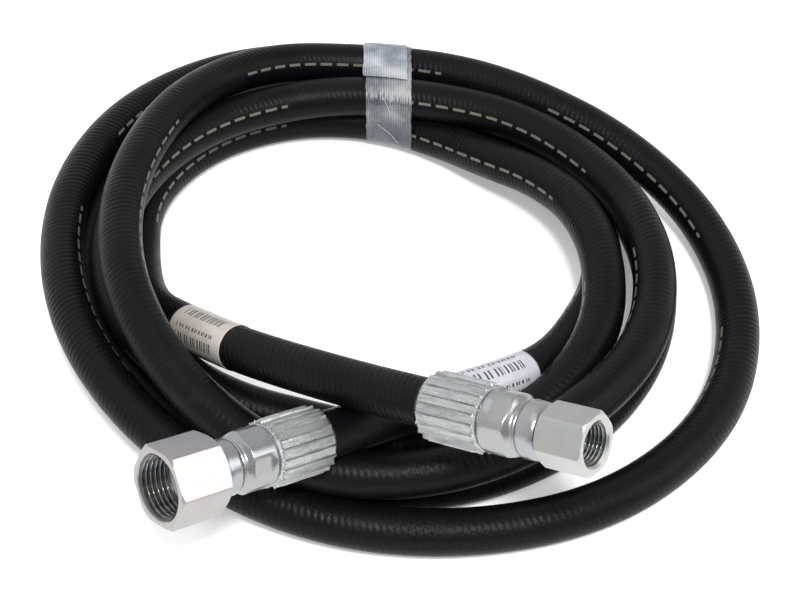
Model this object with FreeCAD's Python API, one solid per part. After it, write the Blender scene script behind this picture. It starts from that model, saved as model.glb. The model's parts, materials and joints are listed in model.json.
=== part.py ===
import FreeCAD, Part
import math
import os
from FreeCAD import Vector

# Hydraulic hose assembly, lying coiled on a flat surface. Millimetres, +Z up.
# The origin is the centre of the whole part's footprint, on that surface.

# ---- driving dimensions -------------------------------------------------
HOSE_D = 17.0            # outside diameter of the 3/8 in hose
BRAID_D = 13.8           # over the wire braid
LINER_D = 12.0           # over the inner tube
HOSE_BORE_D = 9.5        # 3/8 in bore
FIT = 0.02               # radial room between pieces that are pressed together

COIL_X = 1.0             # place of the coil's middle in the part's frame
COIL_Y = 18.6

LOW_LAYER_TOP = 17.0     # top of the turns that lie on the surface
COIL_TOP = 29.0          # top of the turns that lie on those
LOW_HOLE = (-19.0, -30.0, 84.5)     # x, y and radius of the lower turns' open middle
TOP_HOLE = (-20.0, -34.0, 87.0)     # and of the upper turns'
LOW_RIM = (-1.0, -7.3, 146.0)       # outer rim of the lower turns
TOP_RIM = (-19.8, -11.5, 126.5)     # outer rim of the upper turns
RIM_ROUND = 6.0

FERRULE_D = 24.0
FERRULE_VALLEY_D = 22.7
FERRULE_LENGTH = 25.0
FERRULE_RIBS = 20
HOSE_DEPTH = 22.5        # how far the hose goes into the ferrule
STEM_HEX = 20.6          # across the flats of the nipple's wrench hexagon
STEM_HEX_D = 22.0        # the hexagon's corners are rounded to this diameter
STEM_HEX_LENGTH = 10.4
COLLAR_D = 19.4
COLLAR_LENGTH = 8.4
NIPPLE_BORE_D = 6.8
SEAT_ANGLE = 37.0        # half angle of the conical seat
NUT_GAP = 0.4            # between the collar and the nut's back face
SPIN_ROOM = 0.08         # radial room between the nut and the nipple
WIRE_D = 1.6             # thrust wire that holds the nut on

TAPE_WIDTH = 20.0
TAPE_THICK = 0.4
TAPE_X = -5.0            # middle of the tape band, from the coil's middle
LABEL_THICK = 0.25

# Each end: the ferrule's rear mouth, a point that the axis aims at, and the nut.
LARGE_END = {
    "mouth": (-28.2, -127.9, 41.4),
    "aim": (-76.7, -167.1, 63.2),
    "hex": 25.4,
    "nut_length": 20.0,
    "thread_bore_d": 20.4,
    "spindle_d": 17.2,
    "turn": 27.6,
}
SMALL_END = {
    "mouth": (10.9, -131.4, 62.6),
    "aim": (60.6, -165.0, 82.1),
    "hex": 19.05,
    "nut_length": 17.2,
    "thread_bore_d": 13.0,
    "spindle_d": 11.2,
    "turn": 45.0,
}

# Routes of the two loose stretches: after a straight run out of the ferrule's
# mouth they pass these points, and the last one is inside the coil.
LARGE_RUN = [
    (12.0, -98.5, 25.0),
    (36.0, -77.5, 16.2),
    (56.0, -60.0, 9.8),
    (69.0, -47.5, 8.6),
]
SMALL_RUN = [
    (-38.0, -99.5, 46.4),
    (-60.5, -82.5, 38.2),
    (-81.0, -61.5, 29.6),
    (-94.5, -41.5, 20.0),
    (-104.0, -20.0, 12.0),
]
FIRST_RUN = 24.0         # straight out of the ferrule, on its axis
ARC_SHARE = 0.45         # of the shorter run, for the arc at each point
LABEL_ON_LARGE = (60.0, 38.0)       # distance from the mouth and length
LABEL_ON_SMALL = (89.0, 30.0)

Z_AXIS = Vector(0, 0, 1)


def placed(point):
    """A point given from the coil's middle, in the part's frame."""
    return Vector(point[0] + COIL_X, point[1] + COIL_Y, point[2])


def axis_of(end):
    """The fitting's axis, from the ferrule's mouth towards the nut."""
    return (placed(end["aim"]) - placed(end["mouth"])).normalize()


def save(shape, node):
    shape.exportStep("parts/" + node + ".step")
    box = shape.BoundBox
    print("%-22s volume %10.1f  valid %s  z %.2f to %.2f"
          % (node, shape.Volume, shape.isValid(), box.ZMin, box.ZMax))


def cylinder(radius, start, length):
    return Part.makeCylinder(radius, length, Vector(0, 0, start), Z_AXIS)


def revolved(outline):
    """A solid of revolution about Z from (radius, height) points."""
    points = [Vector(radius, 0, height) for radius, height in outline]
    face = Part.Face(Part.makePolygon(points + points[:1]))
    return face.revolve(Vector(0, 0, 0), Z_AXIS, 360)


def hexagon(across_flats, start, length):
    corner = across_flats / math.sqrt(3)
    points = []
    for k in range(7):
        angle = math.radians(60 * k)
        points.append(Vector(corner * math.cos(angle), corner * math.sin(angle), start))
    return Part.Face(Part.makePolygon(points)).extrude(Vector(0, 0, length))


# ---- the hose -----------------------------------------------------------
def route_wire(points):
    """Straight runs joined by tangent arcs, each as large as its runs allow."""
    edges = []
    start = points[0]
    for before, corner, after in zip(points, points[1:], points[2:]):
        run_in = corner - before
        run_out = after - corner
        turn = run_in.getAngle(run_out)
        reach = ARC_SHARE * min(run_in.Length, run_out.Length)
        print("   arc radius %.0f" % (reach / math.tan(turn / 2)))
        into = Vector(run_in).normalize()
        away = Vector(run_out).normalize()
        arc_start = corner - into * reach
        arc_end = corner + away * reach
        inward = (away - into).normalize()
        radius = reach / math.tan(turn / 2)
        centre = corner + inward * (radius / math.cos(turn / 2))
        middle = centre - inward * radius
        edges.append(Part.LineSegment(start, arc_start).toShape())
        edges.append(Part.Arc(arc_start, middle, arc_end).toShape())
        start = arc_end
    edges.append(Part.LineSegment(start, points[-1]).toShape())
    return Part.Wire(edges)


def tube_along(wire, points, radius):
    direction = points[1] - points[0]
    profile = Part.Wire(Part.makeCircle(radius, points[0], direction))
    return wire.makePipeShell([profile], True, False)


def loose_run(end, route):
    mouth = placed(end["mouth"])
    straight = mouth - axis_of(end) * FIRST_RUN
    points = [mouth, straight] + [placed(point) for point in route]
    wire = route_wire(points)
    tube = tube_along(wire, points, HOSE_D / 2)
    expected = math.pi * HOSE_D ** 2 / 4 * wire.Length
    print("   length %.1f, volume over section times length %.4f"
          % (wire.Length, tube.Volume / expected))
    return points, wire, tube


def wrap_label(points, wire, place):
    """A thin sleeve round the hose, a given distance from the mouth."""
    start, length = place
    stations = wire.discretize(Distance=1.0)
    first = stations[int(start)]
    last = stations[int(start + length)]
    chord = last - first
    outer = tube_along(wire, points, HOSE_D / 2 + FIT + LABEL_THICK)
    inner = tube_along(wire, points, HOSE_D / 2 + FIT)
    span = Part.makeCylinder(HOSE_D, chord.Length, first, chord)
    return outer.cut(inner).common(span)


def disc(circle, bottom, top):
    centre = placed((circle[0], circle[1], bottom))
    return Part.makeCylinder(circle[2], top - bottom, centre, Z_AXIS)


def rounded_top(shape, height, radius):
    edges = [edge for edge in shape.Edges
             if abs(edge.BoundBox.ZMin - height) < 0.01
             and abs(edge.BoundBox.ZMax - height) < 0.01]
    return shape.makeFillet(radius, edges)


def hose_coil():
    """The outer shape of the coiled turns: a low wide ring under a narrower one."""
    low = rounded_top(disc(LOW_RIM, 0, LOW_LAYER_TOP), LOW_LAYER_TOP, RIM_ROUND)
    high = rounded_top(disc(TOP_RIM, 0, COIL_TOP), COIL_TOP, RIM_ROUND)
    ring = low.fuse(high).cut(disc(LOW_HOLE, -1, COIL_TOP + 1))
    return ring.cut(disc(TOP_HOLE, LOW_LAYER_TOP, COIL_TOP + 1)).cut(tape_groove())


def tape_outline(grow):
    """The tape's path round the bundle, seen along X, from the coil's middle."""
    inner = TOP_HOLE[1] + TOP_HOLE[2] - 5.0 - grow
    step = TOP_RIM[1] + TOP_RIM[2] + 1.0 + grow
    outer = LOW_RIM[1] + LOW_RIM[2] + 0.8 + grow
    bottom = 0.6 - grow
    low = LOW_LAYER_TOP + 0.4 + grow
    high = COIL_TOP + 0.4 + grow
    return [(inner, bottom), (outer, bottom), (outer, low), (step, high), (inner, high)]


def tape_prism(grow, width):
    left = TAPE_X - width / 2
    points = [placed((left, y, z)) for y, z in tape_outline(grow)]
    face = Part.Face(Part.makePolygon(points + points[:1]))
    return face.extrude(Vector(width, 0, 0))


def tape_groove():
    """A shallow recess under the bundle, so that the tape stays off the surface."""
    left = TAPE_X - TAPE_WIDTH / 2 - 1.0
    corner = placed((left, 0, 0))
    return Part.makeBox(TAPE_WIDTH + 2.0, LOW_RIM[2] + 10.0, 0.7, corner)


def bundling_tape():
    return tape_prism(TAPE_THICK, TAPE_WIDTH).cut(tape_prism(0, TAPE_WIDTH + 1.0))


# ---- the end fittings, drawn along +Z from the ferrule's mouth ----------
def hose_layer(outer_d, inner_d):
    outer = cylinder(outer_d / 2 - FIT, 0, HOSE_DEPTH)
    return outer.cut(cylinder(inner_d / 2, -1, HOSE_DEPTH + 2))


def ferrule():
    """The crimped shell: a ribbed sleeve with a lip that locks on the nipple."""
    points = []
    pitch = 2 * math.pi / FERRULE_RIBS
    for k in range(FERRULE_RIBS):
        for share, diameter in ((0.0, FERRULE_D), (0.14, FERRULE_D),
                                (0.26, FERRULE_VALLEY_D), (0.88, FERRULE_VALLEY_D)):
            angle = (k + share) * pitch
            reach = diameter / 2
            points.append(Vector(reach * math.cos(angle), reach * math.sin(angle), 0))
    ribbed = Part.Face(Part.makePolygon(points + points[:1]))
    shell = ribbed.extrude(Vector(0, 0, FERRULE_LENGTH))
    rim = FERRULE_D / 2
    ends = revolved([(0, 0), (rim - 1.1, 0), (rim, 1.2), (rim, FERRULE_LENGTH - 1.6),
                     (rim - 1.4, FERRULE_LENGTH), (0, FERRULE_LENGTH)])
    shell = shell.common(ends)
    hollow = cylinder(HOSE_D / 2 + FIT, -1, HOSE_DEPTH + 1.2)
    flare = revolved([(0, -0.1), (HOSE_D / 2 + 0.9, -0.1), (HOSE_D / 2, 0.9), (0, 0.9)])
    lock_hole = cylinder(lock_radius() + FIT, 0, FERRULE_LENGTH + 1)
    return shell.cut(hollow).cut(flare).cut(lock_hole)


def lock_radius():
    return HOSE_BORE_D / 2 + 1.6


def spindle_length(end):
    return end["nut_length"] * 0.42


def collar_front():
    return FERRULE_LENGTH + 0.4 + STEM_HEX_LENGTH + 1.4 + COLLAR_LENGTH


def nipple(end):
    """Barbed tail, wrench hexagon, collar and the seat that the nut turns on."""
    tail = HOSE_BORE_D / 2 - FIT
    outline = [(0, 1.0), (tail - 0.9, 1.0), (tail, 2.6)]
    for k in range(5):
        barb = 4.0 + 4.0 * k
        outline += [(tail, barb + 1.6), (tail - 0.5, barb + 1.6), (tail, barb + 3.2)]
    hex_start = FERRULE_LENGTH + 0.4
    hex_end = hex_start + STEM_HEX_LENGTH
    front = collar_front()
    collar = COLLAR_D / 2
    spindle = end["spindle_d"] / 2
    face = front + spindle_length(end)
    outline += [(tail, HOSE_DEPTH + 0.2), (lock_radius(), HOSE_DEPTH + 0.2),
                (lock_radius(), hex_start), (collar - 0.8, hex_start),
                (collar - 0.8, hex_end + 1.4), (collar, hex_end + 2.0),
                (collar, front - 1.6), (collar - 0.5, front - 0.5), (collar - 1.6, front),
                (spindle, front), (spindle, face - 0.4), (spindle - 0.4, face), (0, face)]
    body = revolved(outline)
    corner = STEM_HEX_D / 2
    rounding = revolved([(0, hex_start), (corner - 1.2, hex_start), (corner - 0.3, hex_start + 0.7),
                         (corner, hex_start + 2.4), (corner, hex_end - 3.0),
                         (corner - 0.5, hex_end - 1.2), (collar - 0.4, hex_end), (0, hex_end)])
    body = body.fuse(hexagon(STEM_HEX, hex_start, STEM_HEX_LENGTH).common(rounding))
    bore = NIPPLE_BORE_D / 2
    seat = spindle - 0.9
    depth = (seat - bore) / math.tan(math.radians(SEAT_ANGLE))
    passage = revolved([(0, 0), (bore, 0), (bore, face - depth), (seat, face), (seat, face + 1),
                        (0, face + 1)])
    return body.cut(passage).cut(wire_groove(end)).removeSplitter()


def wire_height():
    return collar_front() + 2.6


def wire_ring(end, radius):
    centre_line = end["spindle_d"] / 2 + SPIN_ROOM / 2
    return Part.makeTorus(centre_line, radius, Vector(0, 0, wire_height()), Z_AXIS)


def wire_groove(end):
    return wire_ring(end, WIRE_D / 2 + SPIN_ROOM)


def swivel_nut(end):
    """A hexagon nut with a threaded mouth and a lip that runs on the nipple."""
    start = collar_front() + NUT_GAP
    length = end["nut_length"]
    finish = start + length
    corner = end["hex"] / math.sqrt(3)
    flat = end["hex"] / 2
    bevel = (corner - flat) * 0.58 + 0.3
    trim = revolved([(0, start), (flat - 0.5, start), (corner, start + bevel),
                     (corner, finish - bevel), (flat - 0.5, finish), (0, finish)])
    nut = hexagon(end["hex"], start, length).common(trim)
    lip = end["spindle_d"] / 2 + SPIN_ROOM
    thread = end["thread_bore_d"] / 2
    thread_start = collar_front() + spindle_length(end) + 0.3
    lip_end = thread_start - (thread - lip) * 0.6
    hollow = revolved([(0, start - 1), (lip, start - 1), (lip, lip_end), (thread, thread_start),
                       (thread, finish - 0.9), (thread + 0.9, finish), (thread + 0.9, finish + 1),
                       (0, finish + 1)])
    return nut.cut(hollow).cut(wire_groove(end))


def set_on(shape, end):
    """Moves a piece drawn along +Z onto the end's axis."""
    spin = FreeCAD.Rotation(Z_AXIS, end["turn"])
    swing = FreeCAD.Rotation(Z_AXIS, axis_of(end))
    moved = shape.copy()
    moved.Placement = FreeCAD.Placement(placed(end["mouth"]), swing.multiply(spin))
    return moved


def fitting(end, name):
    pieces = {
        "liner_end_": hose_layer(LINER_D, HOSE_BORE_D),
        "braid_end_": hose_layer(BRAID_D, LINER_D),
        "cover_end_": hose_layer(HOSE_D, BRAID_D),
        "ferrule_": ferrule(),
        "nipple_": nipple(end),
        "thrust_wire_": wire_ring(end, WIRE_D / 2),
        "swivel_nut_": swivel_nut(end),
    }
    for node, shape in pieces.items():
        save(set_on(shape, end), node + name)
    mouth = placed(end["mouth"])
    along = axis_of(end)
    front = collar_front() + NUT_GAP + end["nut_length"]
    print("   %s axis %.5f %.5f %.5f, nut's front at %.3f %.3f %.3f, length %.1f"
          % ((name,) + tuple(along) + tuple(mouth + along * front) + (front,)))


def main():
    os.makedirs("parts", exist_ok=True)
    save(hose_coil(), "hose_coil")
    save(bundling_tape(), "bundling_tape")
    for name, end, route, label in (("large", LARGE_END, LARGE_RUN, LABEL_ON_LARGE),
                                    ("small", SMALL_END, SMALL_RUN, LABEL_ON_SMALL)):
        points, wire, tube = loose_run(end, route)
        save(tube, "hose_run_" + name)
        save(wrap_label(points, wire, label), "label_" + name)
        fitting(end, name)


main()
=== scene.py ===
import json
import math

import bmesh
import bpy
import numpy as np
from mathutils import Matrix, Vector


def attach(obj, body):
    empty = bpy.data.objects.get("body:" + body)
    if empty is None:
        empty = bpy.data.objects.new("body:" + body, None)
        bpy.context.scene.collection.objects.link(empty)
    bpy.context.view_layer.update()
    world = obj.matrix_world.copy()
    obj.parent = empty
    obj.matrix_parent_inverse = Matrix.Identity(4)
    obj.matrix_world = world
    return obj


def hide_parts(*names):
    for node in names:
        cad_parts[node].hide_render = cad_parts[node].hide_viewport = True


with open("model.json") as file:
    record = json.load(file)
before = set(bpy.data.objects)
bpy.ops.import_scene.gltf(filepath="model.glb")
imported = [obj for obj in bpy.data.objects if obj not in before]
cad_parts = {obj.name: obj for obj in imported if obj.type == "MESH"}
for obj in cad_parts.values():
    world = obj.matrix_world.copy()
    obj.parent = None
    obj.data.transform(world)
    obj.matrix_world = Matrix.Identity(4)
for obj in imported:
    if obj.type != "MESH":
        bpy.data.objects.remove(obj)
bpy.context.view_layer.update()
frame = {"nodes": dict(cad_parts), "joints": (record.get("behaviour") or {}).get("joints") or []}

MM = 0.001
HOSE_D = 17.0 * MM
HOSE_R = HOSE_D / 2
COIL_MIDDLE = Vector((1.0, 18.6, 0.0)) * MM     # the coil's middle in the part's frame

# ---- the hose's route ---------------------------------------------------
# From the coil's middle, in metres: the two loose stretches. They are the CAD part's up to
# where the turns begin, with the points near the coil moved by up to 8 mm.
LARGE_RUN = [(-0.0282, -0.1279, 0.0414), (-0.0113, -0.1143, 0.0338), (0.0120, -0.0985, 0.0258),
             (0.0370, -0.0810, 0.0172), (0.0560, -0.0650, 0.0100)]
SMALL_RUN = [(-0.0985, -0.0390, 0.0150), (-0.0820, -0.0570, 0.0232), (-0.0605, -0.0825, 0.0382),
             (-0.0380, -0.0995, 0.0464), (-0.0076, -0.1189, 0.0553), (0.0109, -0.1314, 0.0626)]

# The coiled turns: the way round in degrees, the reach from the middle and the
# height of the hose's centre, both in mm. They follow the photo, except that the first 5
# and the last 15 were moved by a search for gentler bends and rounded.
TURNS = [
    (325, 84, 9.5), (340, 84, 8.5), (360, 84, 8.5), (405, 80, 8.5), (428, 84, 8.5),
    (450, 97.5, 8.5), (473, 112, 8.5), (495, 124, 8.5), (518, 130, 8.5), (540, 131.5, 8.5), (563, 126, 8.5),
    (585, 120, 8.5), (630, 125, 8.5), (675, 114.5, 8.5), (720, 102, 8.5), (743, 97.5, 8.5), (765, 95, 8.5),
    (788, 106, 8.5), (810, 123.5, 8.5), (833, 141, 9.5), (855, 145, 15), (878, 140, 22), (900, 136.3, 24.5),
    (923, 135.7, 24.5), (945, 137.5, 20.5), (968, 139.5, 11.5), (990, 143, 8.5), (1035, 150.8, 8.5),
    (1080, 131, 10), (1103, 115.3, 16), (1125, 101, 23), (1148, 99.3, 25.5), (1170, 104.3, 24.5),
    (1193, 110.5, 25.5), (1215, 110.5, 31), (1238, 106.5, 38), (1260, 108.5, 42), (1283, 114, 42),
    (1305, 121, 38.5), (1328, 126.5, 31), (1350, 127.5, 25), (1395, 117.5, 25), (1440, 97, 25),
    (1485, 82, 24.5), (1530, 79, 25), (1575, 104, 25.5), (1598, 111, 25.5), (1620, 113, 25.5),
    (1643, 112, 25), (1665, 112, 20), (1688, 101, 10.5), (1710, 103, 8.5), (1732, 101.5, 12),
    (1755, 96, 18), (1800, 75.5, 23.5), (1845, 61, 20.5), (1867, 68, 13), (1890, 82, 10),
    (1912, 96, 8.5), (1935, 108, 8.5), (1958, 113, 8.5), (1975, 112, 8.5), (1986, 108.5, 10.5),
]
POINTS_PER_TURN = 16
POINTS_PER_SPAN = 24        # points read from the spline between two of its control points
SETTLING_ROUNDS = 50
SETTLING_POINTS = 4         # points felt along each span while the turns settle
NEIGHBOUR_REACH = 3 * HOSE_D    # nearer along the hose than this isn't another turn
TOUCHING = 16.4 * MM        # neighbouring turns press a little into each other
TINY = 1e-9


def between(way_round):
    """The reach and height of the hose at an angle, on a smooth curve through TURNS."""
    table = np.array(TURNS, float)
    angles = table[:, 0]
    last = len(angles) - 1
    k = min(max(int(np.searchsorted(angles, way_round)) - 1, 0), last - 1)
    step = angles[k + 1] - angles[k]
    t = (way_round - angles[k]) / step
    values = []
    for column in (1, 2):
        value = table[:, column]
        slopes = []
        for j in (k, k + 1):
            before, after = max(j - 1, 0), min(j + 1, last)
            slopes.append((value[after] - value[before]) / (angles[after] - angles[before]) * step)
        values.append((2 * t ** 3 - 3 * t ** 2 + 1) * value[k] + (t ** 3 - 2 * t ** 2 + t) * slopes[0]
                      + (3 * t ** 2 - 2 * t ** 3) * value[k + 1] + (t ** 3 - t ** 2) * slopes[1])
    return values


def coil_points():
    """Control points of the turns, which stand out a little because the spline cuts inside them."""
    first, last = TURNS[0][0], TURNS[-1][0]
    count = round((last - first) * POINTS_PER_TURN / 360)
    step = math.radians((last - first) / count)
    stand_out = 1 / (0.75 + 0.25 * math.cos(step))
    points = []
    for k in range(count + 1):
        angle = first + (last - first) * k / count
        reach, height = between(angle)
        turn = math.radians(angle)
        out = reach * stand_out * MM
        points.append((out * math.cos(turn), out * math.sin(turn), height * MM))
    return points


def spline_weights(count, per_span):
    """How much of each control point is in each point along an order-3 spline."""
    rows = []
    for span in range(count - 2):
        for j in range(per_span):
            t = j / per_span
            before, after = (1 - t) ** 2 / 2, t ** 2 / 2
            if span == 0:
                before = (1 - t) ** 2
            if span == count - 3:
                after = t ** 2
            row = np.zeros(count)
            row[span:span + 3] = before, 1 - before - after, after
            rows.append(row)
    return np.array(rows)


def settled(points, fixed_start, fixed_end):
    """Moves the turns apart where they would lie in each other, and keeps them off the floor."""
    points = np.array(points)
    weights = spline_weights(len(points), SETTLING_POINTS)
    free = np.ones((len(points), 1))
    free[:fixed_start] = 0
    free[len(points) - fixed_end:] = 0
    for _ in range(SETTLING_ROUNDS):
        line = weights @ points
        along = np.concatenate([[0], np.cumsum(np.linalg.norm(np.diff(line, axis=0), axis=1))])
        gap = line[:, None] - line[None]
        distance = np.linalg.norm(gap, axis=2)
        touching = (distance < TOUCHING) & (np.abs(along[:, None] - along[None]) > NEIGHBOUR_REACH)
        share = np.where(touching, (TOUCHING - distance) / 2 / np.maximum(distance, TINY), 0)
        push = (share[:, :, None] * gap).sum(1) / np.maximum(touching.sum(1), 1)[:, None]
        felt = np.maximum(weights.T @ touching.any(1).astype(float), 1e-6)[:, None]
        points = points + (weights.T @ push) / felt * free
        points[:, 2] = np.maximum(points[:, 2], HOSE_R)
    return [tuple(p) for p in points]


def hose_route():
    """The control points of the whole hose, from the large end to the small end."""
    points = settled(LARGE_RUN + coil_points() + SMALL_RUN, len(LARGE_RUN), len(SMALL_RUN))
    return [Vector(p) + COIL_MIDDLE for p in points]


def spline_points(route, resolution):
    """Points along the order-3 NURBS spline whose control points are the route's."""
    curve = bpy.data.curves.new("route", "CURVE")
    curve.dimensions = "3D"
    spline = curve.splines.new("NURBS")
    spline.points.add(len(route) - 1)
    for point, place in zip(spline.points, route):
        point.co = (*place, 1)
    spline.order_u = 3
    spline.use_endpoint_u = True
    spline.resolution_u = resolution
    holder = bpy.data.objects.new("route", curve)
    bpy.context.scene.collection.objects.link(holder)
    bpy.context.view_layer.update()
    line = bpy.data.meshes.new_from_object(holder.evaluated_get(bpy.context.evaluated_depsgraph_get()))
    places = np.array([v.co for v in line.vertices])
    bpy.data.objects.remove(holder)
    bpy.data.meshes.remove(line)
    return places


class Path:
    """A smooth line with a frame at each point that doesn't twist."""

    def __init__(self, places):
        self.places = places
        steps = np.linalg.norm(np.diff(places, axis=0), axis=1)
        self.along = np.concatenate([[0], np.cumsum(steps)])
        self.length = self.along[-1]
        heading = np.gradient(places, self.along, axis=0)
        self.heading = heading / np.linalg.norm(heading, axis=1)[:, None]
        side = np.cross(self.heading[0], (0, 0, 1))
        sides = []
        for way in self.heading:
            side = side - way * np.dot(side, way)
            side = side / np.linalg.norm(side)
            sides.append(side)
        self.side = np.array(sides)

    def at(self, along):
        """Places, side vectors and up vectors at the given distances."""
        def mixed(values):
            return np.stack([np.interp(along, self.along, values[:, k]) for k in range(3)], 1)
        heading = mixed(self.heading)
        heading /= np.linalg.norm(heading, axis=1)[:, None]
        side = mixed(self.side)
        side -= heading * (side * heading).sum(1)[:, None]
        side /= np.linalg.norm(side, axis=1)[:, None]
        return mixed(self.places), side, np.cross(side, heading)


# ---- meshes -------------------------------------------------------------
SHARP_ANGLE = math.radians(28)


def new_piece(name, verts, faces, uv=None):
    """A smooth-shaded mesh object. uv gives one pair for each corner of each face."""
    mesh = bpy.data.meshes.new(name)
    mesh.from_pydata([tuple(v) for v in verts], [], faces)
    mesh.validate()
    if uv is not None:
        layer = mesh.uv_layers.new(name="lay")
        layer.data.foreach_set("uv", np.array(uv, np.float32).ravel())
    mesh.shade_smooth()
    piece = bpy.data.objects.new(name, mesh)
    bpy.context.scene.collection.objects.link(piece)
    return piece


def grid_faces(rows, columns, wrap_rows, wrap_columns):
    """Four-sided faces between the points of a grid, which may close on itself either way."""
    faces = []
    for i in range(rows if wrap_rows else rows - 1):
        row, next_row = i * columns, (i + 1) % rows * columns
        for j in range(columns if wrap_columns else columns - 1):
            j_next = (j + 1) % columns
            faces.append((row + j, row + j_next, next_row + j_next, next_row + j))
    return faces


def tube(name, path, start, end, radius, pitch, around):
    """A round tube along a path, closed by its end faces. Its UV is the length in metres and the turn."""
    rings = int((end - start) / pitch) + 1
    along = np.linspace(start, end, rings)
    place, side, up = path.at(along)
    turn = np.arange(around) / around * 2 * math.pi
    rim = np.cos(turn)[None, :, None] * side[:, None] + np.sin(turn)[None, :, None] * up[:, None]
    verts = (place[:, None] + rim * radius).reshape(-1, 3)
    faces = grid_faces(rings, around, False, True)
    uv = []
    for i in range(rings - 1):
        for j in range(around):
            uv += [(along[i], j / around), (along[i], (j + 1) / around),
                   (along[i + 1], (j + 1) / around), (along[i + 1], j / around)]
    faces.append(tuple(range(around)))
    faces.append(tuple(range((rings - 1) * around, rings * around))[::-1])
    uv += [(along[0], 0)] * around + [(along[-1], 0)] * around
    return new_piece(name, verts, faces, uv)


def lathed(name, end, radius, height):
    """A closed piece from a grid of radius and height, one row for each angle, set on an end's axis.

    Its UV is the height in metres and the share of a turn."""
    turns, count = radius.shape
    turn = np.arange(turns) / turns * 2 * math.pi
    verts = np.stack([radius * np.cos(turn)[:, None], radius * np.sin(turn)[:, None], height], 2)
    uv = []
    for i in range(turns):
        for j in range(count):
            j_next = (j + 1) % count
            low, high = height[i, j] * MM, height[i, j_next] * MM
            uv += [(low, i / turns), (high, i / turns), (high, (i + 1) / turns), (low, (i + 1) / turns)]
    piece = new_piece(name, verts.reshape(-1, 3) * MM, grid_faces(turns, count, True, True), uv)
    piece.data.transform(end["place"])
    fix_normals(piece.data)
    piece.data.set_sharp_from_angle(angle=SHARP_ANGLE)
    return piece


def fix_normals(mesh):
    work = bmesh.new()
    work.from_mesh(mesh)
    bmesh.ops.recalc_face_normals(work, faces=work.faces)
    work.to_mesh(mesh)
    work.free()


def soft_min(a, b, blend):
    """The smaller of two values, with the corner between them rounded."""
    share = np.clip(0.5 + (b - a) / (2 * blend), 0, 1)
    return b * (1 - share) + a * share - blend * share * (1 - share)


def soft_max(a, b, blend):
    return -soft_min(-a, -b, blend)


def smooth_step(value, low, high):
    t = np.clip((value - low) / (high - low), 0, 1)
    return t * t * (3 - 2 * t)


def wavy(turns, count, seed):
    """Smooth repeatable unevenness from -1 to 1 on a grid that closes round its first axis."""
    waves = 10
    draw = np.random.default_rng(seed)
    turn = np.arange(turns)[:, None] / turns * 2 * math.pi
    run = np.arange(count)[None, :] / count * 2 * math.pi
    total = np.zeros((turns, count))
    for _ in range(waves):
        total += np.sin(draw.integers(3, 40) * turn + draw.uniform(0.5, 5) * run + draw.uniform(0, 6.3))
    return total / waves


# ---- the end fittings ---------------------------------------------------
# In mm. Heights are along the fitting's axis, from the ferrule's rear mouth.
FERRULE_END = 24.9
RIDGE_END = 23.6            # the crimped ridges stop just short of the front
FERRULE_R = 12.0
VALLEY_R = 11.15
FERRULE_BORE_R = 8.52
RIBS = 20
STEPS_PER_RIB = 24
HOSE_END = 22.5             # how far the hose goes into the ferrule
HOSE_BORE_R = 4.75
LOCK_R = HOSE_BORE_R + 1.6  # the nipple's collar inside the ferrule's front wall
STEM_START = 24.6
STEM_HEX = 20.6
STEM_CORNER_R = 10.97       # the stem hexagon's corners are rounded to this
STEM_SHOULDER_R = 10.2
NECK = 37.0
NECK_R = 8.75
COLLAR_END = 45.6
COLLAR_R = 9.7
BORE_R = 3.4
BARBS = 5
BARB_PITCH = 4.0
NUT_START = 46.0
NUT_BACK_BEVEL = 1.8
NUT_FRONT_BEVEL = 1.4
EDGE_ROUND = 0.1
SPIN_ROOM = 0.08            # between the nut and the nipple
SEAT_SLOPE = math.tan(math.radians(37))

# minor_r and major_r are the thread's, mouth_r its mouth's. turn and stem_turn
# are how far the nut and the stem hexagon are turned about the axis, in degrees.
ENDS = {
    "large": {"mouth": LARGE_RUN[0], "hex": 25.4, "nut_length": 20.0, "minor_r": 10.2, "major_r": 11.05,
              "pitch": 25.4 / 14, "spindle_r": 8.6, "turn": 27.6, "mouth_r": 11.4, "face_beyond_flat": 0.7,
              "thread_length": 11.6, "stem_turn": 5.0},
    "small": {"mouth": SMALL_RUN[-1], "hex": 19.05, "nut_length": 17.2, "minor_r": 6.5, "major_r": 7.12,
              "pitch": 25.4 / 18, "spindle_r": 5.6, "turn": 45.0, "mouth_r": 7.9, "face_beyond_flat": 0.2,
              "thread_length": 10.0, "stem_turn": 18.0},
}


def set_ends():
    """Each end's axis comes from its nut's joint."""
    for joint in frame["joints"]:
        name = joint["name"].split("_")[-1]
        end = ENDS[name]
        axis = Vector(joint["axis"]).normalized()
        swing = Vector((0, 0, 1)).rotation_difference(axis).to_matrix().to_4x4()
        spin = Matrix.Rotation(math.radians(end["turn"]), 4, "Z")
        end["place"] = Matrix.Translation(Vector(end["mouth"]) + COIL_MIDDLE) @ swing @ spin


def hexagon_radius(turn, across_flats):
    """Distance to a hexagon's side at each angle. A corner is at angle 0."""
    within = np.mod(turn, math.pi / 3) - math.pi / 6
    return across_flats / 2 / np.cos(within)


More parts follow.
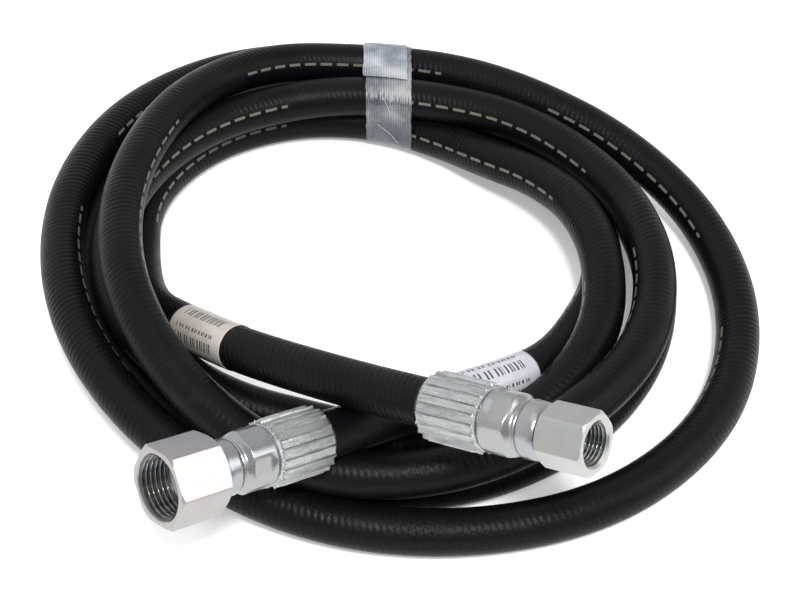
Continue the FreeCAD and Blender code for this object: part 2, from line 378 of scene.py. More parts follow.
def swivel_nut(name):
    """The nut, and for each of its faces whether it lies in the thread's groove, which gets a darker zinc
    as painted shade.
    """
    end = ENDS[name]
    turns = 360
    turn = (np.arange(turns) / turns * 2 * math.pi)[:, None]
    ones = np.ones((turns, 1))
    flat = end["hex"] / 2
    corner = end["hex"] / math.sqrt(3)
    start = NUT_START
    finish = start + end["nut_length"]

    # the outside: a hexagon with softened corners, turned down by a cone at each end
    back = np.linspace(start, start + NUT_BACK_BEVEL, 28)[:-1]
    between_bevels = np.linspace(start + NUT_BACK_BEVEL, finish - NUT_FRONT_BEVEL, 6)[:-1]
    z_out = np.concatenate([back, between_bevels, np.linspace(finish - NUT_FRONT_BEVEL, finish, 26)])
    corner_cut, corner_round = 0.12, 0.16
    hexed = soft_min(hexagon_radius(turn, end["hex"]), corner - corner_cut + 0 * turn, corner_round)
    front_slope, back_slope, back_below_flat = 1.9, 1.75, 0.2
    front_cone = flat + end["face_beyond_flat"] + (finish - z_out) * front_slope
    back_cone = flat - back_below_flat + (z_out - start) * back_slope
    cones = soft_min(front_cone, back_cone, EDGE_ROUND)[None, :]
    r_out = soft_min(hexed + 0 * cones, cones + 0 * hexed, EDGE_ROUND)
    r_out = r_out + 0.012 * wavy(turns, len(z_out), 21)

    # the thread, which fades out at its inner end, and the chamfer that leads into it
    mouth = end["mouth_r"]
    z_in = np.arange(finish - 0.08, finish - end["thread_length"], -end["pitch"] / 16)
    phase = np.mod(z_in[None, :] / end["pitch"] - turn / (2 * math.pi), 1.0)
    tooth = np.clip(np.abs(phase - 0.5) * 2 * 1.5 - 0.2, 0, 1)
    depth = end["major_r"] - end["minor_r"]
    fade = smooth_step(z_in, z_in[-1], z_in[-1] + 1.2)[None, :]
    r_in = end["minor_r"] + depth * tooth * fade
    lead_in = mouth - (finish - z_in)
    r_in = np.maximum(r_in, np.maximum(lead_in, end["minor_r"])[None, :])

    # the front face, and the cone and lip at the back that run on the nipple
    face_round, face_proud = 0.12, 0.02
    rim = r_out[:, -1:]
    face_r = np.concatenate([rim - face_round, rim * 0 + mouth + face_round, rim * 0 + mouth], 1)
    face_z = np.array([finish + face_proud, finish + face_proud, finish])
    lip = end["spindle_r"] + SPIN_ROOM
    thread_start = z_in[-1] - 0.1
    lip_end = thread_start - (end["minor_r"] - lip) * 0.6
    back_r = np.array([end["minor_r"], lip, lip, lip + 0.3, flat - 0.5])
    back_z = np.array([thread_start, lip_end, start + 0.3, start - face_proud, start - face_proud])
    radius = np.concatenate([r_out, face_r, r_in, ones * back_r], 1)
    height = np.concatenate([ones * z_out, ones * face_z, ones * z_in, ones * back_z], 1)
    nut = lathed("threaded_nut_" + name, end, radius, height)

    # the groove between the crests gets a darker zinc as painted shade; the crests and the chamfer keep the
    # nut's own zinc
    first = len(z_out) + 3
    in_painted_shade = np.zeros(radius.shape, int)
    middle = (radius + np.roll(radius, -1, 1)) / 2
    in_painted_shade[:, first:first + len(z_in)] = 1
    in_painted_shade[(middle < end["minor_r"] + 0.1) & (height > finish - end["thread_length"] + 1.0)] = 0
    in_painted_shade[middle > end["major_r"] + 0.02] = 0
    return nut, in_painted_shade.ravel()


def ferrule(name):
    """The crimped shell: flattened valleys between narrow ridges that end in a ragged burr."""
    end = ENDS[name]
    turns = RIBS * STEPS_PER_RIB
    turn = (np.arange(turns) / turns * 2 * math.pi)[:, None]
    z_out = np.concatenate([np.linspace(0.0, 3.0, 22)[:-1], np.linspace(3.0, 19.5, 34)[:-1],
                            np.linspace(19.5, FERRULE_END, 44)])
    seed = 11 if name == "large" else 12
    uneven = wavy(turns, len(z_out), seed)

    # across one rib: a narrow ridge, then a valley that the jaw left nearly flat
    share = np.mod(turn * RIBS / (2 * math.pi) + 0.03 * np.sin(3 * turn + seed) + 0.01 * uneven, 1.0)
    ridge = smooth_step(share, 0.0, 0.10) * (1 - smooth_step(share, 0.12, 0.26))
    valley_middle = 0.63
    chord = (share - valley_middle) * 2 * math.pi / RIBS
    hollow = (1 - np.cos(chord)) * VALLEY_R * 0.9 - 0.12
    ridge_height = (FERRULE_R - VALLEY_R) * ridge * (1 + 0.25 * uneven)

    # along the ferrule: rounded rear mouth, ridges with uneven ends, rounded nose
    ridge_end = RIDGE_END + 0.9 * wavy(turns, 1, seed + 5)
    rear = smooth_step(z_out, 0.1, 1.7)[None, :]
    front = 1 - smooth_step(z_out[None, :] - ridge_end, -0.5, 0.25)
    barrel = VALLEY_R - 1.0 * (1 - smooth_step(z_out, -0.3, 1.5))
    barrel = barrel - 0.25 * smooth_step(z_out, 18.0, RIDGE_END)
    nose = 1.3 * smooth_step(z_out, FERRULE_END - 0.7, FERRULE_END) ** 2
    burr = 0.4 * np.exp(-((z_out[None, :] - ridge_end + 0.25) / 0.33) ** 2)
    burr = burr * (0.35 + 0.65 * ridge + 0.5 * uneven)
    rough_rear = 0.12 * uneven * np.exp(-((z_out - 1.0) / 0.6) ** 2)[None, :]
    r_out = barrel[None, :] - nose[None, :] + (ridge_height + hollow * (1 - ridge)) * rear * front
    r_out = np.minimum(r_out + burr + rough_rear + 0.03 * uneven, FERRULE_R)

    bore = FERRULE_BORE_R
    inner_r = np.array([LOCK_R + 0.03, LOCK_R + 0.03, bore, bore, bore + 0.7, bore + 1.2])
    inner_z = np.array([FERRULE_END, HOSE_END + 0.15, HOSE_END + 0.1, 0.9, 0.1, -0.05])
    ones = np.ones((turns, 1))
    radius = np.concatenate([r_out, ones * inner_r], 1)
    height = np.concatenate([ones * z_out, ones * inner_z], 1)
    return lathed("crimped_ferrule_" + name, end, radius, height)


def nipple(name):
    """The stem, from its barbed tail inside the hose to the conical seat inside the nut."""
    end = ENDS[name]
    turns = 240
    turn = (np.arange(turns) / turns * 2 * math.pi)[:, None]
    spindle = end["spindle_r"]
    face = COLLAR_END + end["nut_length"] * 0.42

    tail_r, tail_z = [BORE_R + 0.2, HOSE_BORE_R - 0.9], [1.0, 1.0]
    for k in range(BARBS):
        barb = BARB_PITCH * (k + 1)
        tail_r += [HOSE_BORE_R - 0.02, HOSE_BORE_R - 0.5]
        tail_z += [barb + 1.5, barb + 1.6]
    tail_r += [HOSE_BORE_R - 0.02, LOCK_R, LOCK_R, STEM_SHOULDER_R]
    tail_z += [HOSE_END + 0.1, HOSE_END + 0.2, STEM_START - 0.05, STEM_START]

    # the forged hexagon, which grows out of a round shoulder and runs down into the neck
    z_out = np.concatenate([np.linspace(STEM_START, NECK, 90)[:-1], np.linspace(NECK, COLLAR_END, 60)])
    shoulder = STEM_SHOULDER_R + 0.75 * smooth_step(z_out, STEM_START, STEM_START + 1.1)
    stem_turn = turn - math.radians(end["stem_turn"] - end["turn"])
    hexed = soft_min(hexagon_radius(stem_turn, STEM_HEX), 11.0 + 0 * turn, 0.4)
    hexed = np.minimum(hexed, STEM_CORNER_R)
    flats = smooth_step(z_out, STEM_START + 0.8, STEM_START + 4.2)[None, :]
    body = shoulder * (1 - flats) + hexed * flats
    into_neck = NECK_R + 2.5 * (1 - smooth_step(z_out, NECK - 3.0, NECK))
    body = soft_min(body, into_neck[None, :] + 0 * body, 0.4)

    # the turned collar in front of the neck, with a rounded front edge
    ridge = 0.5 * np.exp(-((z_out - NECK - 0.75) / 0.3) ** 2)
    barrel = NECK_R + (COLLAR_R - NECK_R) * smooth_step(z_out, NECK + 0.1, NECK + 2.8)
    front = np.clip((z_out - (COLLAR_END - 3.0)) / 3.0, 0, 1)
    collar = barrel + ridge - 1.5 * (1 - np.sqrt(1 - front ** 2))
    r_out = np.where(z_out < NECK, body, collar[None, :]) + 0.006 * wavy(turns, len(z_out), 5)

    bore_start = face - (spindle - 0.9 - BORE_R) / SEAT_SLOPE
    in_r = np.array([spindle, spindle, spindle - 0.3, spindle - 0.85, BORE_R, BORE_R, BORE_R])
    in_z = np.array([COLLAR_END + 0.05, face - 0.3, face, face, bore_start, 1.6, 1.1])
    ones = np.ones((turns, 1))
    radius = np.concatenate([ones * np.array(tail_r), r_out, ones * in_r], 1)
    height = np.concatenate([ones * np.array(tail_z), ones * z_out, ones * in_z], 1)
    return lathed("stem_" + name, end, radius, height)


# ---- the tape and the labels --------------------------------------------
FAR_SIDE = 50.0 * MM    # the tape binds the turns beyond this y
TAPE_X = -5.0 * MM
TAPE_WIDTH = 20.0 * MM
TAPE_THICK = 0.15 * MM
TAPE_STEPS = 480        # round the bundle
TAPE_COLUMNS = 41       # across the tape
TAPE_LAY = 0.2          # metres of lay (UV) for one way round
TAPE_START = 0.12       # shares of the way round the bundle, from its underside, between
TAPE_END = 0.615        # which a second layer is stuck over the first
TORN_AT = 0.677         # where the film is rubbed off the filaments
FILAMENT_PITCH = 1.05 * MM
FILAMENT_R = 0.12 * MM
# Filaments that have come away: x in mm from the coil's middle, and the share of the way round.
LOOSE_FILAMENTS = [((-7.8, 0.676), (-4.2, 0.725)), ((-10.0, 0.768), (-1.0, 0.815))]


def crossings(path, x):
    """Outlines of the hose's turns, cut by the plane at x on the far side of the coil, as (y, z) points."""
    found = []
    turn = np.linspace(0, 2 * math.pi, 49)[:-1]
    places = path.places
    for k in range(len(places) - 1):
        a, b = places[k], places[k + 1]
        if (a[0] - x) * (b[0] - x) <= 0 and a[1] > FAR_SIDE and a[0] != b[0]:
            heading = path.heading[k]
            centre = a + (b - a) * (x - a[0]) / (b[0] - a[0])
            up = np.cross(path.side[k], heading)
            rim = np.cos(turn)[:, None] * path.side[k] + np.sin(turn)[:, None] * up
            rim = rim - heading * (rim[:, :1] / heading[0])
            found.append(centre[1:] + rim[:, 1:] * HOSE_R)
    return np.concatenate(found)


def wrapped_outline(points, reach, count):
    """A band pulled tight round the points, a given distance off them, in equal steps."""
    outline = []
    for angle in np.linspace(-math.pi / 2, 1.5 * math.pi, 721)[:-1]:
        out = np.array((math.cos(angle), math.sin(angle)))
        outline.append(points[np.argmax(points @ out)] + out * reach)
    outline = np.array(outline + outline[:1])
    along = np.concatenate([[0], np.cumsum(np.linalg.norm(np.diff(outline, axis=0), axis=1))])
    wanted = np.linspace(0, along[-1], count + 1)[:-1]
    return np.stack([np.interp(wanted, along, outline[:, k]) for k in range(2)], 1)


def strip(path, left, width, lift, thick, first, last, seed):
    """Corners and faces of one layer of tape, from one share of the way round the bundle to another."""
    columns, count = TAPE_COLUMNS, TAPE_STEPS
    draw = np.random.default_rng(seed)
    closed = last - first >= 1
    keep = slice(int(first * count), int(last * count))
    nicks = 60
    ragged = [draw.uniform(-1, 1, nicks) for _ in range(2)]
    run = np.arange(count) / count * nicks
    pucker = 0.5 + 0.5 * wavy(count, columns, seed + 1).T
    inner, outer = [], []
    for i in range(columns):
        share = i / (columns - 1)
        x = COIL_MIDDLE.x + left + share * width
        section = crossings(path, x)
        frayed = (np.interp(run, np.arange(nicks), ragged[0]) * (1 - share) ** 6
                  + np.interp(run, np.arange(nicks), ragged[1]) * share ** 6) * 0.3 * MM
        for sheet, off in ((inner, lift), (outer, lift + thick)):
            outline = wrapped_outline(section, off, count)
            middle = outline.mean(0)
            out = outline - middle
            out /= np.linalg.norm(out, axis=1)[:, None]
            outline = outline + out * (pucker[i] * 0.35 * MM)[:, None]
            sheet.append(np.concatenate([(x + frayed)[:, None], outline], 1)[keep])
    sheet = np.concatenate([inner, outer[::-1]])
    sheet[:, :, 2] = np.maximum(sheet[:, :, 2], 0.03 * MM)
    rows, length = sheet.shape[:2]
    faces = grid_faces(rows, length, True, closed)
    uv = []
    for i in range(rows):
        for j in range(length if closed else length - 1):
            for a, b in ((i, j), (i, j + 1), (i + 1, j + 1), (i + 1, j)):
                side = min(a, rows - 1 - a) if a < rows else 0
                uv.append((side / (columns - 1) * width, (b / count + first) * TAPE_LAY))
    if not closed:
        for j in (0, length - 1):
            for i in range(columns - 1):
                a, b = i * length + j, (i + 1) * length + j
                c, d = (rows - 2 - i) * length + j, (rows - 1 - i) * length + j
                faces.append((a, b, c, d))
                uv += [(i / (columns - 1) * width, TAPE_LAY * last)] * 4
    return sheet.reshape(-1, 3), faces, uv


def tape_band(path):
    """Two layers of tape: one right round the bundle, and the roll's end that is stuck over it.

    The second list says for each face whether it is in the layer on top."""
    left = TAPE_X - TAPE_WIDTH / 2
    verts, faces, uv = strip(path, left, TAPE_WIDTH, 0.12 * MM, TAPE_THICK, 0.0, 1.0, 3)
    top = strip(path, left - 1.2 * MM, TAPE_WIDTH - 0.6 * MM, 0.75 * MM, TAPE_THICK,
                TAPE_START, TAPE_END, 9)
    base = len(verts)
    faces += [tuple(base + k for k in face) for face in top[1]]
    piece = new_piece("filament_tape_band", np.concatenate([verts, top[0]]), faces, uv + top[2])
    fix_normals(piece.data)
    return piece, [1 if min(face.vertices) >= base else 0 for face in piece.data.polygons]


def loose_filament(name, path, start, end):
    """A filament lying across the tape in a shallow bow."""
    places = []
    steps = 8
    for k in range(steps + 1):
        part = k / steps
        share = start[1] + (end[1] - start[1]) * part
        x = start[0] + (end[0] - start[0]) * part + 0.5 * math.sin(math.pi * part)
        x = COIL_MIDDLE.x + x * MM
        outline = wrapped_outline(crossings(path, x), 0.85 * MM, TAPE_STEPS)
        places.append((x, *outline[int(share * TAPE_STEPS)]))
    strand = Path(np.array(places))
    return tube(name, strand, 0.0, strand.length, FILAMENT_R, 0.5 * MM, 8)


def label(name, path, start, length):
    """A label wrapped round the hose, with its overlapping edge."""
    rings, around = 46, 96
    along = np.linspace(start, start + length, rings)
    place, side, up = path.at(along)
    turn = np.arange(around + 1) / around * 2 * math.pi * 1.04 + 2.0
    share = np.arange(around + 1) / around
    lift = HOSE_R + 0.06 * MM + 0.12 * MM * smooth_step(share, 0.9, 0.965)
    rim = np.cos(turn)[None, :, None] * side[:, None] + np.sin(turn)[None, :, None] * up[:, None]
    inner = place[:, None] + rim * lift[None, :, None]
    outer = place[:, None] + rim * (lift + 0.12 * MM)[None, :, None]
    sheet = np.concatenate([inner, outer[:, ::-1]], 1)
    columns = sheet.shape[1]
    faces = grid_faces(rings, columns, False, True)
    uv = []
    for i in range(rings - 1):
        for j in range(columns):
            for a, b in ((i, j), (i, j + 1), (i + 1, j + 1), (i + 1, j)):
                b = b % columns
                share_b = b if b <= around else 2 * around + 1 - b
                uv.append(((along[a] - start) / length, share_b / around))
    for row in (0, rings - 1):
        for j in range(around):
            quad = (row * columns + j, row * columns + j + 1,
                    row * columns + columns - 2 - j, row * columns + columns - 1 - j)
            faces.append(quad)
            uv += [(row / (rings - 1), 0.5)] * 4
    piece = new_piece("wrapped_label_" + name, sheet.reshape(-1, 3), faces, uv)
    fix_normals(piece.data)
    return piece


# ---- materials ----------------------------------------------------------
class Shader:
    """Short calls for building a node material."""

    def __init__(self, name, **settings):
        self.material = bpy.data.materials.new(name)
        self.material.use_nodes = True
        self.tree = self.material.node_tree
        self.surface = self.tree.nodes["Principled BSDF"]
        for socket, value in settings.items():
            self.surface.inputs[socket.replace("_", " ")].default_value = value

    def node(self, kind, **values):
        made = self.tree.nodes.new("ShaderNode" + kind)
        for key, value in values.items():
            if hasattr(made, key):
                setattr(made, key, value)
            else:
                self.plug(value, made.inputs[key.replace("_", " ")])
        return made

    def plug(self, value, socket):
        if isinstance(value, bpy.types.NodeSocket):
            self.tree.links.new(value, socket)
        else:
            socket.default_value = value

    def math(self, operation, a, b=0.0):
        made = self.tree.nodes.new("ShaderNodeMath")
        made.operation = operation
        self.plug(a, made.inputs[0])
        self.plug(b, made.inputs[1])
        return made.outputs[0]

    def noise(self, scale, detail=3.0, rough=0.5, vector=None, warp=0.0):
        made = self.node("TexNoise", Scale=scale, Detail=detail, Roughness=rough, Distortion=warp)
        self.plug(vector or self.place(), made.inputs["Vector"])
        return made.outputs["Fac"]

    def place(self):
        return self.node("TexCoord").outputs["Object"]

    def lay(self):
        """The piece's own length and turn, as two numbers."""
        split = self.node("SeparateXYZ")
        self.plug(self.node("UVMap", uv_map="lay").outputs[0], split.inputs[0])
        return split.outputs[0], split.outputs[1]

    def drawn(self, along_scale, turn_scale):
        """A place stretched along a lathed piece's axis, for drawing lines. It joins up round the turn."""
        along, turn = self.lay()
        angle = self.math("MULTIPLY", turn, 2 * math.pi)
        joined = self.node("CombineXYZ")
        self.plug(self.math("MULTIPLY", self.math("COSINE", angle), turn_scale), joined.inputs[0])
        self.plug(self.math("MULTIPLY", self.math("SINE", angle), turn_scale), joined.inputs[1])
        self.plug(self.math("MULTIPLY", along, along_scale), joined.inputs[2])
        return joined.outputs[0]

    def ramp(self, value, *stops):
        made = self.node("ValToRGB")
        self.plug(value, made.inputs[0])
        elements = made.color_ramp.elements
        while len(elements) < len(stops):
            elements.new(0.5)
        for element, (place, colour) in zip(elements, stops):
            element.position = place
            element.color = (*colour, 1.0)
        return made.outputs[0]

    def bump(self, height, distance, strength=1.0, normal=None):
        made = self.node("Bump", Strength=strength, Distance=distance)
        self.plug(height, made.inputs["Height"])
        if normal is not None:
            self.plug(normal, made.inputs["Normal"])
        return made.outputs[0]

    def use(self, **links):
        for socket, value in links.items():
            self.plug(value, self.surface.inputs[socket.replace("_", " ")])
        return self.material


def grey(value):
    return (value, value, value)


WRAP_PITCH = 2.4 * MM       # of the marks that the curing cloth leaves
LAY_LINE_AROUND = 0.40      # on the inner side of the turns, a little above the middle
LAY_LINE_HALF_WIDTH = 0.011
DASH_PITCH = 8.0 * MM
DASH_GROUP = 152.0 * MM


def hose_rubber():
    """Black cover rubber with the marks of the cloth that it was cured in, and a worn broken lay line."""
    s = Shader("hose_rubber", Specular_IOR_Level=0.10)
    along, around = s.lay()
    turns = s.math("MULTIPLY", along, 2 * math.pi / WRAP_PITCH)
    lean = s.math("MULTIPLY", around, 2 * math.pi)
    wobble = s.math("MULTIPLY", s.noise(90.0, 3.0), 3.5)
    rings = s.math("SINE", s.math("ADD", s.math("ADD", turns, s.math("MULTIPLY", lean, 5.0)), wobble))
    cross = s.math("SINE", s.math("ADD", s.math("MULTIPLY", lean, 24.0), s.math("MULTIPLY", turns, -0.5)))
    patches = s.ramp(s.noise(50.0, 3.0, 0.6), (0.35, grey(0.25)), (0.65, grey(1.0)))
    marks = s.math("MULTIPLY", rings, s.math("ADD", s.math("MULTIPLY", cross, 0.35), 0.75))
    grain = s.noise(1500.0, 4.0, 0.7)
    height = s.math("ADD", s.math("MULTIPLY", marks, patches), s.math("MULTIPLY", grain, 0.9))
    dust = s.noise(38.0, 6.0, 0.7)
    colour = s.ramp(dust, (0.35, (0.0022, 0.0020, 0.0026)), (0.6, (0.0038, 0.0035, 0.0042)),
                    (0.8, (0.0105, 0.0092, 0.0086)))
    off_line = s.math("ABSOLUTE", s.math("SUBTRACT", around, LAY_LINE_AROUND))
    on_line = s.math("LESS_THAN", off_line, LAY_LINE_HALF_WIDTH)
    dash = s.math("GREATER_THAN", s.math("FRACT", s.math("MULTIPLY", along, 1 / DASH_PITCH)), 0.3)
    group = s.math("GREATER_THAN", s.math("FRACT", s.math("MULTIPLY", along, 1 / DASH_GROUP)), 0.35)
    ink = s.math("MULTIPLY", s.math("MULTIPLY", on_line, dash), group)
    mix = s.node("MixRGB")
    s.plug(ink, mix.inputs["Fac"])
    s.plug(colour, mix.inputs["Color1"])
    mix.inputs["Color2"].default_value = (0.13, 0.12, 0.10, 1)
    rough = s.ramp(s.noise(110.0, 4.0, 0.6), (0.3, grey(0.33)), (0.75, grey(0.46)))
    return s.use(Base_Color=mix.outputs[0], Roughness=rough, Normal=s.bump(height, 0.09 * MM))


def zinc(name, tint, rough_low, rough_high, lines, iridescent):
    """Zinc plate: satin, a little cloudy, with a faint film colour where it is iridescent.

    lines is how strongly the bar's drawing lines show, along the axis."""
    s = Shader(name, Metallic=1.0)
    cloud = s.noise(90.0, 4.0, 0.6)
    fine = s.noise(1500.0, 3.0, 0.6)
    base = s.ramp(cloud, (0.3, tuple(c * 0.9 for c in tint)), (0.7, tint))
    if iridescent:
        bands = s.noise(48.0, 2.0, 0.5, warp=0.6)
        film = s.ramp(bands, (0.3, (0.70, 0.76, 0.90)), (0.44, (0.80, 0.80, 0.82)),
                      (0.52, (0.90, 0.76, 0.74)), (0.6, (0.90, 0.83, 0.66)), (0.7, (0.74, 0.80, 0.86)))
        mix = s.node("MixRGB", blend_type="MULTIPLY", Fac=iridescent)
        s.plug(base, mix.inputs["Color1"])
        s.plug(film, mix.inputs["Color2"])
        base = mix.outputs[0]
    rough = s.ramp(cloud, (0.3, grey(rough_low)), (0.75, grey(rough_high)))
    streaks = s.noise(1.0, 3.0, 0.6, vector=s.drawn(90.0, 60.0))
    height = s.math("ADD", fine, s.math("MULTIPLY", streaks, lines))
    return s.use(Base_Color=base, Roughness=rough, Normal=s.bump(height, 0.012 * MM))


def crimped_zinc():
    """The ferrule: the same plate, scuffed by the crimping jaws and drawn along its length."""
    s = Shader("crimped_zinc", Metallic=1.0)
    cloud = s.noise(120.0, 5.0, 0.65)
    scuff = s.noise(800.0, 5.0, 0.7, warp=1.0)
    streaks = s.noise(1.0, 4.0, 0.65, vector=s.drawn(130.0, 75.0))
    worn = s.math("ADD", s.math("MULTIPLY", scuff, 0.25), s.math("MULTIPLY", streaks, 0.75))
    base = s.ramp(worn, (0.36, (0.20, 0.21, 0.215)), (0.48, (0.37, 0.38, 0.38)),
                  (0.60, (0.54, 0.555, 0.55)))
    rough = s.ramp(cloud, (0.3, grey(0.24)), (0.75, grey(0.38)))
    height = s.math("ADD", s.math("MULTIPLY", streaks, 1.6), s.math("MULTIPLY", scuff, 0.8))
    return s.use(Base_Color=base, Roughness=rough, Normal=s.bump(height, 0.06 * MM))


def tape_film(name, torn, dark, middle, light):
    """Clear film over white glass filaments that run along the tape, seen against the black hose.

    torn is how strongly it is rubbed where the bundle's upper turns bulge out."""
    s = Shader(name, Specular_IOR_Level=0.6, Coat_Weight=0.3, Coat_Roughness=0.15)
    across, along = s.lay()
    sway = s.math("MULTIPLY", s.noise(90.0, 2.0), 2.2)
    threads = s.math("SINE", s.math("ADD", s.math("MULTIPLY", across, 2 * math.pi / FILAMENT_PITCH), sway))
    creases = s.noise(150.0, 5.0, 0.7, warp=1.0)
    zones = s.noise(42.0, 2.0, 0.5)
    tone = s.math("ADD", s.math("MULTIPLY", creases, 0.35), s.math("MULTIPLY", zones, 0.75))
    tone = s.math("ADD", tone, s.math("MULTIPLY", threads, 0.045))
    if torn:
        share = s.math("MULTIPLY", along, 1 / TAPE_LAY)
        off = s.math("ABSOLUTE", s.math("SUBTRACT", share, TORN_AT))
        band = s.ramp(off, (0.004, grey(1.0)), (0.016, grey(0.0)))
        joined = s.node("CombineXYZ")
        s.plug(s.math("MULTIPLY", across, 2600.0), joined.inputs[0])
        s.plug(s.math("MULTIPLY", along, 160.0), joined.inputs[1])
        streak = s.math("SUBTRACT", s.noise(1.0, 3.0, 0.6, vector=joined.outputs[0]), 0.53)
        bared = s.math("MULTIPLY", s.math("MULTIPLY", band, streak), 1.6 * torn)
        below = s.ramp(share, (0.678, grey(0.0)), (0.69, grey(1.0)), (0.725, grey(0.35)), (0.80, grey(0.6)))
        tone = s.math("ADD", tone, s.math("ADD", bared, s.math("MULTIPLY", below, -0.13 * torn)))
    colour = s.ramp(tone, (0.38, dark), (0.52, middle), (0.68, light))
    rough = s.ramp(creases, (0.3, grey(0.22)), (0.7, grey(0.5)))
    height = s.math("ADD", s.math("MULTIPLY", threads, 0.6), s.math("MULTIPLY", creases, 2.0))
    return s.use(Base_Color=colour, Roughness=rough, Normal=s.bump(height, 0.12 * MM))


def glass_filament():
    """A glass thread that has come away from the tape."""
    s = Shader("glass_filament", Specular_IOR_Level=0.6)
    colour = s.ramp(s.noise(900.0), (0.3, (0.36, 0.37, 0.38)), (0.7, (0.55, 0.55, 0.54)))
    return s.use(Base_Color=colour, Roughness=0.35, Normal=s.bump(s.noise(4000.0), 0.02 * MM))


def label_paper(name, low, high):
    """Printed film with plain bars of uneven width in place of any print."""
    s = Shader(name, Specular_IOR_Level=0.5, Coat_Weight=0.3, Coat_Roughness=0.1)
    along, around = s.lay()
    paper = s.ramp(s.noise(160.0, 4.0, 0.6), (0.3, low), (0.7, high))
    row = s.math("FRACT", s.math("MULTIPLY", around, 5.0))
    tall = s.math("LESS_THAN", s.math("ABSOLUTE", s.math("SUBTRACT", row, 0.29)), 0.17)
    thin = s.math("LESS_THAN", s.math("ABSOLUTE", s.math("SUBTRACT", row, 0.70)), 0.06)
    wide = s.math("SINE", s.math("MULTIPLY", along, 2 * math.pi * 15.0))
    narrow = s.math("SINE", s.math("MULTIPLY", along, 2 * math.pi * 23.0))
    bars = s.math("GREATER_THAN", s.math("ADD", wide, narrow), 0.25)
    margin = s.math("LESS_THAN", s.math("ABSOLUTE", s.math("SUBTRACT", along, 0.5)), 0.36)
    ink = s.math("MULTIPLY", s.math("MAXIMUM", tall, thin), s.math("MULTIPLY", bars, margin))
    mix = s.node("MixRGB")
    s.plug(ink, mix.inputs["Fac"])
    s.plug(paper, mix.inputs["Color1"])
    mix.inputs["Color2"].default_value = (0.03, 0.03, 0.035, 1)
    return s.use(Base_Color=mix.outputs[0], Roughness=0.35, Normal=s.bump(s.noise(300.0, 3.0), 0.03 * MM))


def plain_rubber():
    """The matt rubber of the inner tube and of the cut cover."""
    s = Shader("inner_tube_rubber")
    colour = s.ramp(s.noise(400.0), (0.3, grey(0.010)), (0.7, grey(0.016)))
    return s.use(Base_Color=colour, Roughness=0.6, Normal=s.bump(s.noise(2500.0), 0.03 * MM))


def braid_steel():
    """Brass-coated wire braid, seen at the hose's cut end."""
    s = Shader("braid_steel", Metallic=1.0)
    weave = s.node("TexWave", Scale=700.0, Distortion=2.0)
    s.plug(s.place(), weave.inputs["Vector"])
    colour = s.ramp(weave.outputs["Fac"], (0.2, (0.32, 0.27, 0.18)), (0.8, (0.62, 0.54, 0.38)))
    return s.use(Base_Color=colour, Roughness=0.35, Normal=s.bump(weave.outputs["Fac"], 0.1 * MM))


def floor_white():
    """A white sweep that glows a little, so that shadows on it stay faint."""
    s = Shader("floor_white", Specular_IOR_Level=0.2)
    s.surface.inputs["Emission Color"].default_value = (1, 1, 1, 1)
    s.surface.inputs["Emission Strength"].default_value = 0.28
    colour = s.ramp(s.noise(8.0), (0.3, grey(0.84)), (0.7, grey(0.86)))
    return s.use(Base_Color=colour, Roughness=0.7)


def dress(piece, material, body):
    """Gives a new piece its material and the body that it rides on."""
    piece.data.materials.clear()
    piece.data.materials.append(material)
    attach(piece, body)


def paint(node, material):
    """Gives a CAD node that stays a better material."""
    mesh = frame["nodes"][node].data
    mesh.materials.clear()
    mesh.materials.append(material)


# ---- building -----------------------------------------------------------
# Each label's distance from its end of the hose, and its length along the hose.
LABELS = {"large": (60.0 * MM, 38.0 * MM), "small": (89.0 * MM, 35.0 * MM)}
HOSE_RING_PITCH = 2.4 * MM
set_ends()
route = hose_route()
path = Path(spline_points(route, POINTS_PER_SPAN))

hose = tube("hose", path, 0.0, path.length, HOSE_R, HOSE_RING_PITCH, 40)
rubber = hose_rubber()
dress(hose, rubber, "hose")
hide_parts("hose_coil", "hose_run_large", "hose_run_small")

nut_zinc = {
    "large": zinc("nut_zinc_large", (0.37, 0.365, 0.375), 0.2, 0.28, 0.8, 0.5),
    "small": zinc("nut_zinc_small", (0.415, 0.425, 0.41), 0.28, 0.38, 1.2, 0.12),
}
# a darker zinc painted into the thread's groove as painted shade
thread_painted_shade_zinc = zinc("thread_painted_shade_zinc", (0.12, 0.13, 0.135), 0.3, 0.4, 0.0, 0.6)
stem_zinc = zinc("stem_zinc", (0.33, 0.34, 0.345), 0.24, 0.34, 0.0, 0.2)
shell_zinc = crimped_zinc()
spring_steel = zinc("spring_steel", (0.5, 0.5, 0.51), 0.25, 0.4, 0.0, 0.0)
inner_rubber = plain_rubber()
wire = braid_steel()
papers = {
    "large": label_paper("label_paper_cool", (0.38, 0.38, 0.42), (0.46, 0.46, 0.50)),
    "small": label_paper("label_paper_warm", (0.36, 0.33, 0.29), (0.44, 0.41, 0.37)),
}

for name in ENDS:
    nut, in_painted_shade = swivel_nut(name)
    dress(nut, nut_zinc[name], "nut_" + name)
    nut.data.materials.append(thread_painted_shade_zinc)
    # the faces in the thread's groove get the darker zinc as painted shade
    nut.data.polygons.foreach_set("material_index", in_painted_shade)
    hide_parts("swivel_nut_" + name)
    shell = ferrule(name)
    dress(shell, shell_zinc, "hose")
    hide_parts("ferrule_" + name)
    stem = nipple(name)
    dress(stem, stem_zinc, "hose")
    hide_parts("nipple_" + name)
    start, length = LABELS[name]
    if name == "small":
        start = path.length - start - length
    tag = label(name, path, start, length)
    dress(tag, papers[name], "hose")
    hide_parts("label_" + name)
    paint("liner_end_" + name, inner_rubber)
    paint("braid_end_" + name, wire)
    paint("cover_end_" + name, inner_rubber)
    paint("thrust_wire_" + name, spring_steel)

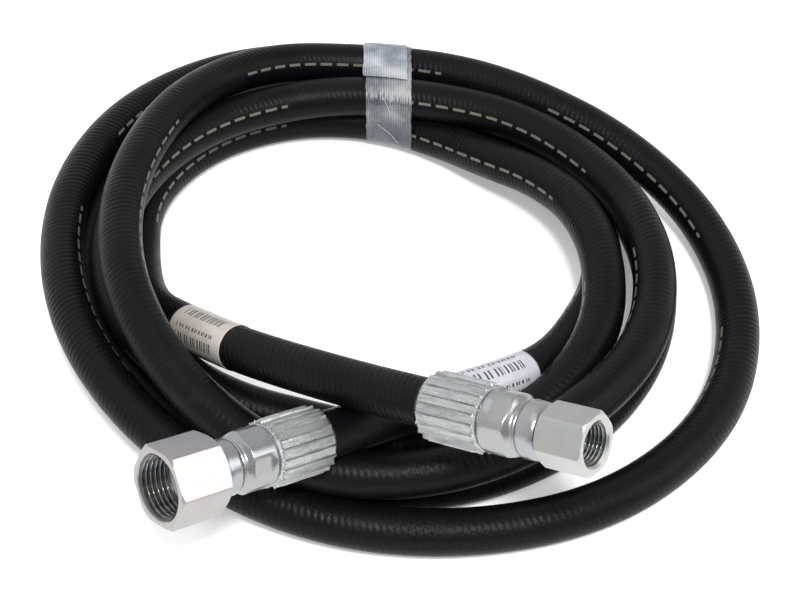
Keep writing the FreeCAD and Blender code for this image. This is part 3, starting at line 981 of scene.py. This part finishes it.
tape, on_top = tape_band(path)
one_layer = tape_film("tape_film", 1.0, (0.03, 0.04, 0.055), (0.095, 0.105, 0.12), (0.30, 0.305, 0.31))
two_layers = tape_film("tape_film_doubled", 0.0, (0.08, 0.10, 0.13), (0.19, 0.21, 0.24), (0.42, 0.43, 0.44))
dress(tape, one_layer, "hose")
tape.data.materials.append(two_layers)
tape.data.polygons.foreach_set("material_index", on_top)
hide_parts("bundling_tape")
glass = glass_filament()
for k, (start, end) in enumerate(LOOSE_FILAMENTS):
    dress(loose_filament("loose_filament_%d" % (k + 1), path, start, end), glass, "hose")


# ---- the studio ---------------------------------------------------------
def add_floor():
    size = 6.0      # metres from the middle to each side
    floor = new_piece("floor", [(-size, -size, 0), (size, -size, 0), (size, size, 0), (-size, size, 0)],
                      [(0, 1, 2, 3)])
    floor.data.materials.append(floor_white())


def add_light(name, place, aim, size, power):
    data = bpy.data.lights.new(name, "AREA")
    data.shape = "RECTANGLE"
    data.size, data.size_y = size
    data.energy = power
    lamp = bpy.data.objects.new(name, data)
    lamp.location = place
    lamp.rotation_mode = "QUATERNION"
    lamp.rotation_quaternion = (Vector(aim) - Vector(place)).to_track_quat("-Z", "Y")
    bpy.context.scene.collection.objects.link(lamp)


def add_world():
    """A soft white room with a dim band a little above the horizon, brighter to the left and behind."""
    world = bpy.data.worlds.new("studio")
    world.use_nodes = True
    tree = world.node_tree
    back = tree.nodes["Background"]
    where = tree.nodes.new("ShaderNodeTexCoord")
    split = tree.nodes.new("ShaderNodeSeparateXYZ")
    tree.links.new(where.outputs["Generated"], split.inputs[0])

    ramp = tree.nodes.new("ShaderNodeValToRGB")
    tree.links.new(split.outputs[2], ramp.inputs[0])
    tree.links.new(ramp.outputs[0], back.inputs["Color"])
    stops = ((0.0, 0.7), (0.045, 0.7), (0.075, 0.48), (0.2, 0.58), (0.5, 0.72), (1.0, 0.6))
    elements = ramp.color_ramp.elements
    while len(elements) < len(stops):
        elements.new(0.5)
    for element, (place, value) in zip(elements, stops):
        element.position = place
        element.color = (value, value, value * 1.02, 1)

    # the strength: a share everywhere, and more towards -X and +Y
    left, behind = (0, -1.0, 1.0), (1, 1.0, 0.70)
    strength = 0.85
    for axis, sign, gain in (left, behind):
        toward = tree.nodes.new("ShaderNodeMath")
        toward.operation = "MULTIPLY"
        toward.use_clamp = True
        tree.links.new(split.outputs[axis], toward.inputs[0])
        toward.inputs[1].default_value = sign
        add = tree.nodes.new("ShaderNodeMath")
        add.operation = "MULTIPLY_ADD"
        tree.links.new(toward.outputs[0], add.inputs[0])
        add.inputs[1].default_value = gain
        if isinstance(strength, float):
            add.inputs[2].default_value = strength
        else:
            tree.links.new(strength, add.inputs[2])
        strength = add.outputs[0]
    tree.links.new(strength, back.inputs["Strength"])
    bpy.context.scene.world = world


def add_camera():
    data = bpy.data.cameras.new("camera")
    data.lens = 72.0
    data.sensor_width = 36.0
    camera = bpy.data.objects.new("camera", data)
    camera.location = COIL_MIDDLE + Vector((0, -0.4827, 0.463))
    camera.rotation_euler = (math.radians(45), 0, 0)
    bpy.context.scene.collection.objects.link(camera)
    bpy.context.scene.camera = camera


add_floor()
add_world()
add_light("overhead", (-0.25, 0.1, 1.3), (0, 0, 0), (0.9, 0.9), 2.2)
add_light("spot", (0.1, -0.75, 1.2), (0, 0, 0), (0.18, 0.18), 16.0)
add_light("right", (1.25, -0.25, 0.8), (0, 0, 0.03), (0.9, 0.9), 7.6)
add_camera()
bpy.context.scene.view_settings.view_transform = "Standard"
